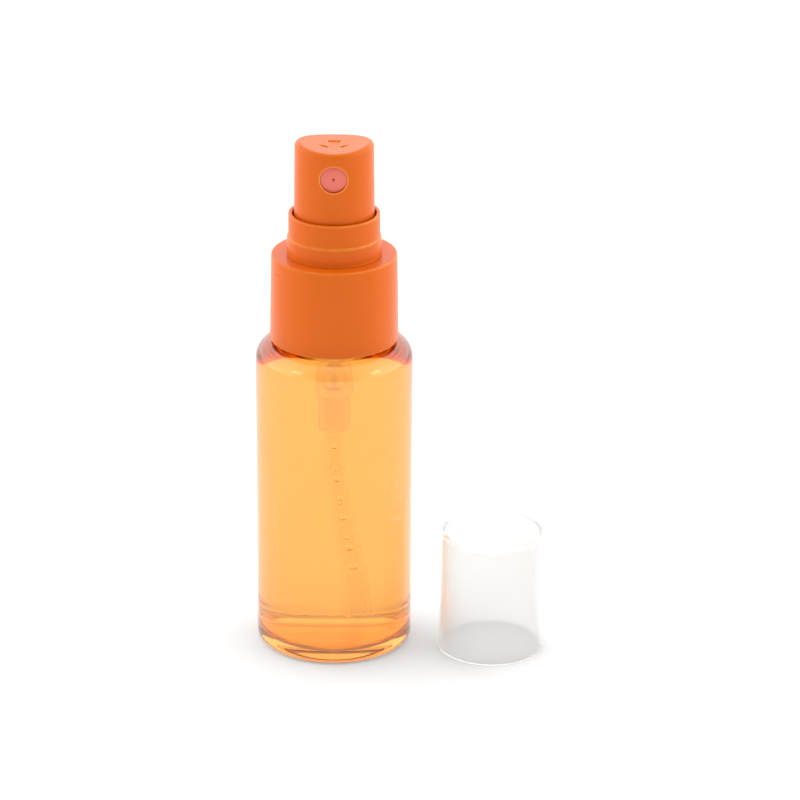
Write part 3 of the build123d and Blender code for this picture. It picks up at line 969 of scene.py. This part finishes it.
class NozzleOperator(bpy.types.Operator):
    """Turn the nozzle insert, a cup with a fine spray hole in its domed face, and lay it in its seat"""

    bl_idname = "lens_spray.nozzle"
    bl_label = "Nozzle insert"

    def execute(self, context):
        n = props(context).nozzle
        low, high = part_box("nozzle_insert")
        radius, front, back = (high.x - low.x) / 2, -low.y, -high.y
        face, inside = front - n.dome, front - n.dome - n.face
        outline = [
            (n.post, back),
            rounded(radius, back, CRISP, 2),
            rounded(radius, face, FINE, 4),
            (0.7 * radius, face + 0.5 * n.dome),
            rounded(n.countersink, front, n.countersink_edge, 3),
            (n.hole, front - n.countersink_depth),
            (n.hole, inside + n.swirl_depth),
            (n.swirl, inside + n.swirl_depth),
            (n.swirl, inside),
            (n.post, inside),
        ]
        insert = turn_on_axis("nozzle_cup", outline, facets=NOZZLE_FACETS, loop=True)
        insert.rotation_euler = (math.pi / 2, 0, 0)
        insert.location = (0, 0, (low.z + high.z) / 2)
        apply_place()
        smooth(insert)
        salmon = moulded_plastic("moulded salmon", props(context).colours.nozzle, roughness=0.42, IOR=1.4)
        finished(insert, "actuator", "nozzle_plastic", salmon, "nozzle_insert")
        return {"FINISHED"}


class SpringOperator(bpy.types.Operator):
    """Wind the return spring at the CAD part's length; the real spring shortens as the actuator goes down.
    """

    bl_idname = "lens_spray.spring"
    bl_label = "Return spring"

    def execute(self, context):
        s = props(context).spring
        foot, top = foot_of("return_spring"), top_of("return_spring")
        coil = radius_of("return_spring") - s.wire
        clear_selection()
        bpy.ops.mesh.primitive_circle_add(
            vertices=WIRE_FACETS, radius=s.wire,
            location=(coil, 0, foot + s.wire), rotation=(math.pi / 2, 0, 0),
        )
        spring = named("return_spring_coil")
        apply_place()
        wind(spring, s.coils, top - foot - 2 * s.wire, steps=COIL_FACETS * s.coils, sides=WIRE_FACETS)
        smooth(spring)
        # the emission is painted light, a glow that keeps the steel from going dark inside the bottle
        wire = moulded_plastic(
            "drawn wire", SPRING_GREY, roughness=0.25,
            Metallic=1.0, Emission_Color=PAINTED_GLOW, Emission_Strength=0.2,
        )
        finished(spring, "pump_unit", "spring_steel", wire, "return_spring")
        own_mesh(spring)
        return {"FINISHED"}


class BubbleOperator(bpy.types.Operator):
    """Trap small bubbles of air in the dip tube"""

    bl_idname = "lens_spray.bubbles"
    bl_label = "Bubbles in the dip tube"

    def execute(self, context):
        t = props(context).tube
        foot, top = foot_of("dip_tube"), top_of("dip_tube")
        lowest, highest = (foot + share * (top - foot) for share in BUBBLES_BETWEEN)
        air = clear_material("trapped air", (1.0, 1.0, 1.0), 1 / LIQUID_IOR, roughness=0.0, spread=0.0)
        made = []
        for count in range(t.bubbles):
            share_down = (count + UNEVEN[count % len(UNEVEN)]) / t.bubbles
            height = highest + (lowest - highest) * share_down
            size_here = t.bubble * (1 - 0.5 * UNEVEN[(count + 2) % len(UNEVEN)])
            made.append(self.bubble(self.middle(height), height, size_here))
        clear_selection()
        for bubble in made:
            bubble.select_set(True)
        bpy.context.view_layer.objects.active = made[0]
        bpy.ops.object.join()
        bubbles = named("dip_tube_bubbles")
        apply_place()
        smooth(bubbles, 60)
        finished(bubbles, "pump_unit", "liquid", air)
        return {"FINISHED"}

    def bubble(self, middle, height, radius):
        """Bubble that the bore squeezes: rounder above, flattened below and drawn out along the tube."""
        clear_selection()
        bpy.ops.mesh.primitive_uv_sphere_add(
            segments=BUBBLE_FACETS, ring_count=BUBBLE_RINGS, radius=radius, location=(*middle, height)
        )
        bubble = named("bubble")
        apply_place()
        start_edit()
        pick(lambda place: place.z > height + TINY)
        bpy.ops.transform.resize(value=BUBBLE_HEAD, center_override=(*middle, height))
        pick(lambda place: place.z < height - TINY)
        bpy.ops.transform.resize(value=BUBBLE_TAIL, center_override=(*middle, height))
        end_edit()
        return bubble

    def middle(self, height):
        """Middle of the dip tube at a height, from a level slice through it."""
        mesh = bmesh.new()
        mesh.from_mesh(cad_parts["dip_tube"].data)
        mesh.transform(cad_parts["dip_tube"].matrix_world)
        everything = mesh.verts[:] + mesh.edges[:] + mesh.faces[:]
        found = bmesh.ops.bisect_plane(mesh, geom=everything, plane_co=(0, 0, height), plane_no=(0, 0, 1))
        rim = [item.co for item in found["geom_cut"] if isinstance(item, bmesh.types.BMVert)]
        xs, ys = [place.x for place in rim], [place.y for place in rim]
        mesh.free()
        return ((min(xs) + max(xs)) / 2, (min(ys) + max(ys)) / 2)


def dress(finishes):
    """Give pieces that keep their engineering shape their materials."""
    for name, material in finishes.items():
        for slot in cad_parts[name].material_slots:
            slot.material = material


class ActuatorOperator(bpy.types.Operator):
    """Finish the actuator, with its dished top and arrow, and the stem that carries it"""

    bl_idname = "lens_spray.actuator"
    bl_label = "Actuator and stem"

    def execute(self, context):
        dress({"actuator": orange_plastic(context), "stem": moulded_plastic("stem white", STEM_WHITE)})
        return {"FINISHED"}


class HousingOperator(bpy.types.Operator):
    """Finish the see-through pieces that hang in the liquid: the pump's housing and the dip tube"""

    bl_idname = "lens_spray.housing"
    bl_label = "Housing and dip tube"

    def execute(self, context):
        dress({"pump_housing": natural_plastic(context), "dip_tube": tube_plastic(context)})
        return {"FINISHED"}


class ValveOperator(bpy.types.Operator):
    """Finish the small pieces inside the pump: piston, rod, ball and seals"""

    bl_idname = "lens_spray.valves"
    bl_label = "Piston, rod, ball and seals"

    def execute(self, context):
        dress({
            "piston": moulded_plastic("waxy white", WAX_WHITE, roughness=0.5),
            "piston_rod": moulded_plastic("rod white", STEM_WHITE),
            "neck_gasket": moulded_plastic(
                "foamed white", FOAM_WHITE, roughness=0.7, grain=2500.0, bump=0.4
            ),
            "stem_seal": moulded_plastic("black rubber", RUBBER_BLACK, roughness=0.6, wear_and_highlight_amount=0.2),
            # the emission is painted light, a glow that keeps the ball from going dark inside the bottle
            "check_ball": moulded_plastic(
                "polished ball", SPRING_GREY, roughness=0.15,
                Metallic=1.0, Emission_Color=PAINTED_GLOW, Emission_Strength=0.2,
            ),
        })
        return {"FINISHED"}


class SprayPanel(bpy.types.Panel):
    """Sidebar panel with the steps in order"""

    bl_idname = "VIEW3D_PT_lens_spray"
    bl_label = "Lens cleaning spray"
    bl_space_type = "VIEW_3D"
    bl_region_type = "UI"
    bl_category = "Spray"

    def draw(self, context):
        for step in STEPS:
            self.layout.operator(step.bl_idname)


STEPS = (
    StageOperator, BottleOperator, LiquidOperator, CollarOperator, SleeveOperator, ActuatorOperator,
    NozzleOperator, HousingOperator, BubbleOperator, SpringOperator, ValveOperator, OvercapOperator,
)
SIZES = (BottleSizes, LiquidSizes, CollarSizes, SleeveSizes, NozzleSizes, SpringSizes, TubeSizes, CapSizes)
CLASSES = (*SIZES, Colours, SprayProps, *STEPS, SprayPanel)


def register():
    for each in CLASSES:
        bpy.utils.register_class(each)
    bpy.types.Scene.lens_spray = PointerProperty(type=SprayProps)


def unregister():
    del bpy.types.Scene.lens_spray
    for each in reversed(CLASSES):
        bpy.utils.unregister_class(each)


def main():
    register()
    for step in STEPS:
        group, operator = step.bl_idname.split(".")
        getattr(getattr(bpy.ops, group), operator)()


if __name__ == "__main__":
    main()
